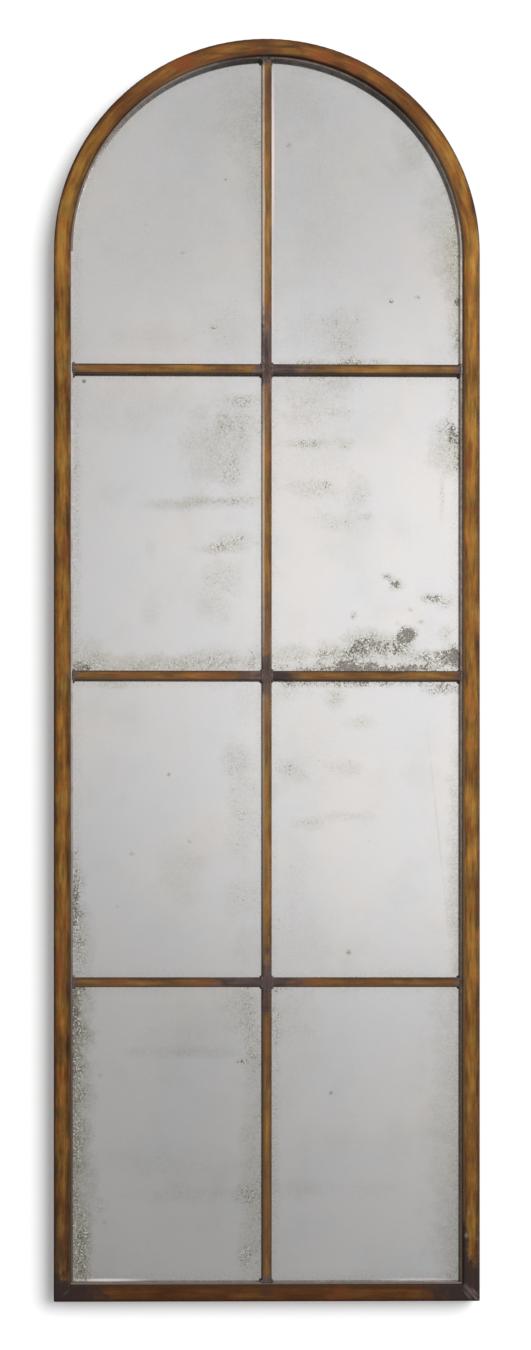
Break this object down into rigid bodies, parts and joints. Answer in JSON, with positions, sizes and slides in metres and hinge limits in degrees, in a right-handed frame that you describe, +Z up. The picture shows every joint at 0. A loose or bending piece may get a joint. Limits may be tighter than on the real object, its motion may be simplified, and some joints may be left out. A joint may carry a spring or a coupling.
{
  "type": "arched wall mirror",
  "caption": "Tall arched wall mirror: a bronzed steel tube frame with a welded window-pane grille over antiqued mirror panes, hung by swinging D rings.",
  "frame": {"origin": "middle of the underside of the bottom rail, halfway between the front of the frame and the wall", "axes": "+X to the viewer's right, +Y from the front of the frame to the wall, +Z up"},
  "size_m": [0.635, 0.0334, 1.88],
  "materials": {
    "bronzed_steel": "brushed antique bronze over steel, rubbed dark at the edges",
    "dark_steel": "dark bronze, matt",
    "weld_metal": "heat-tinted weld, ground and rubbed",
    "antique_mirror": "silvered glass with grey foxing along the edges",
    "fibreboard": "bare hard fibreboard",
    "zinc_plate": "bright zinc plate",
    "bumper_rubber": "matt black rubber"
  },
  "bodies": {
    "mirror": {"arch_rail": "bronzed_steel", "left_stile": "bronzed_steel", "right_stile": "bronzed_steel", "bottom_rail": "bronzed_steel", "corner_welds": "weld_metal", "arch_joint_welds": "weld_metal", "arch_glass_stop": "dark_steel", "left_glass_stop": "dark_steel", "right_glass_stop": "dark_steel", "bottom_glass_stop": "dark_steel", "mullion": "bronzed_steel", "upper_left_crossbar": "bronzed_steel", "upper_right_crossbar": "bronzed_steel", "middle_left_crossbar": "bronzed_steel", "middle_right_crossbar": "bronzed_steel", "lower_left_crossbar": "bronzed_steel", "lower_right_crossbar": "bronzed_steel", "upper_crossing_weld": "weld_metal", "middle_crossing_weld": "weld_metal", "lower_crossing_weld": "weld_metal", "crossbar_end_welds": "weld_metal", "mullion_end_welds": "weld_metal", "arch_left_pane": "antique_mirror", "arch_right_pane": "antique_mirror", "upper_left_pane": "antique_mirror", "upper_right_pane": "antique_mirror", "middle_left_pane": "antique_mirror", "middle_right_pane": "antique_mirror", "lower_left_pane": "antique_mirror", "lower_right_pane": "antique_mirror", "backing_board": "fibreboard", "board_clips": "zinc_plate", "clip_screws": "zinc_plate", "left_hanger_strap": "zinc_plate", "right_hanger_strap": "zinc_plate", "hanger_screws": "zinc_plate", "wall_bumpers": "bumper_rubber"},
    "left_ring": {"left_hanger_ring": "zinc_plate"},
    "right_ring": {"right_hanger_ring": "zinc_plate"}
  },
  "joints": [
    {"name": "left_ring_hinge", "type": "hinge", "parent": "mirror", "child": "left_ring", "pos_m": [-0.3048, 0.01178, 1.5025], "axis": [1, 0, 0], "range_deg": [0, 180]},
    {"name": "right_ring_hinge", "type": "hinge", "parent": "mirror", "child": "right_ring", "pos_m": [0.3048, 0.01178, 1.5025], "axis": [1, 0, 0], "range_deg": [0, 180]}
  ]
}
